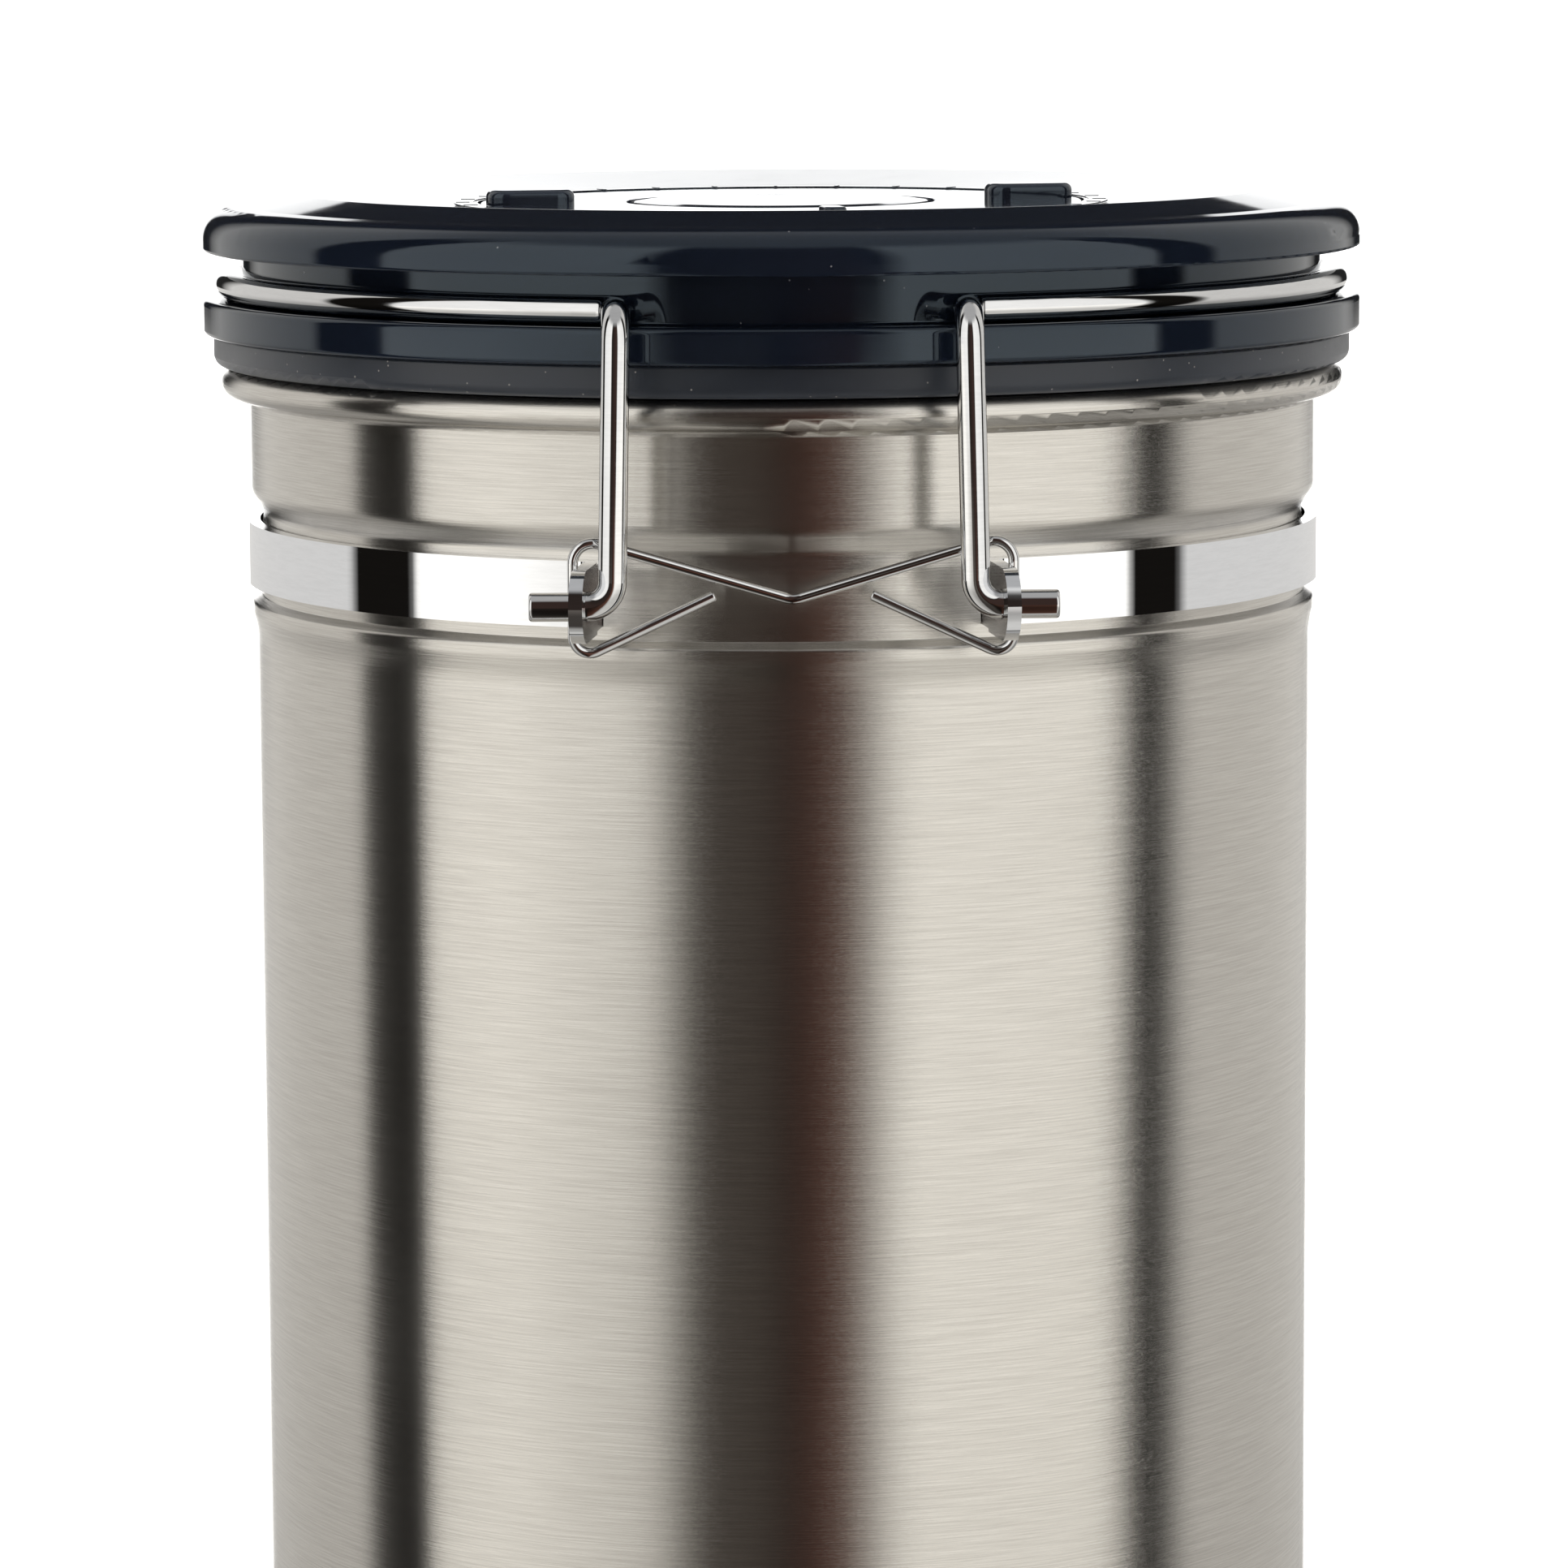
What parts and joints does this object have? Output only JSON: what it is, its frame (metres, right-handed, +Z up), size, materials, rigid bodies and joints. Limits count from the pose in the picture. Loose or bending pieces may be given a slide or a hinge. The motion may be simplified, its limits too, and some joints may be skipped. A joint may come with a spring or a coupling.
{
  "type": "food canister",
  "caption": "Tall round brushed-steel food canister with a dark domed lid on a rear wire hinge, a chrome clamp band, a front wire toggle latch, a vent valve and a date dial.",
  "frame": {"origin": "centre of the flat base, on the canister's axis", "axes": "+Z up along the canister's axis, -Y towards the hinge side, +Y towards the latch side"},
  "size_m": [0.1258, 0.1734, 0.1904],
  "materials": {
    "brushed_steel": "brushed around the axis",
    "band_chrome": "mirror",
    "wire_chrome": "polished wire",
    "lid_plastic": "gloss",
    "dial_plastic": "gloss",
    "silicone": "satin",
    "scale_print": "satin",
    "washer": "satin",
    "valve_plastic": "satin",
    "filter_cloth": "woven"
  },
  "bodies": {
    "canister": {"canister_body": "brushed_steel", "base_plate": "brushed_steel", "band_left": "band_chrome", "band_right": "band_chrome", "rear_tie_wire": "wire_chrome", "front_tie_wire": "wire_chrome"},
    "lid": {"lid_cover": "lid_plastic", "lid_base": "lid_plastic", "lid_gasket": "silicone", "hinge_bail": "wire_chrome", "date_scale": "scale_print", "dial_washer": "washer", "valve_cap": "dial_plastic", "valve_seat": "valve_plastic", "valve_flap": "silicone", "valve_filter": "filter_cloth", "filter_grille": "lid_plastic"},
    "dial": {"date_dial": "dial_plastic"},
    "latch_lever": {"latch_lever": "wire_chrome"},
    "latch_link": {"latch_link": "wire_chrome"}
  },
  "joints": [
    {"name": "lid_hinge", "type": "hinge", "parent": "canister", "child": "lid", "pos_m": [0, -0.0655, 0.1515], "axis": [1, 0, 0], "range_deg": [0, 190]},
    {"name": "dial_turn", "type": "hinge", "parent": "lid", "child": "dial", "pos_m": [0, 0, 0.188], "axis": [0, 0, 1], "continuous": true},
    {"name": "latch_pivot", "type": "hinge", "parent": "canister", "child": "latch_lever", "pos_m": [0, 0.0655, 0.1515], "axis": [1, 0, 0], "range_deg": [-100, 0]},
    {"name": "link_pivot", "type": "hinge", "parent": "latch_lever", "child": "latch_link", "pos_m": [0, 0.0735, 0.15122], "axis": [1, 0, 0], "range_deg": [0, 150]}
  ],
  "couplings": [
    {"joint": "link_pivot", "follows": "latch_pivot", "ratio": -1.5}
  ]
}
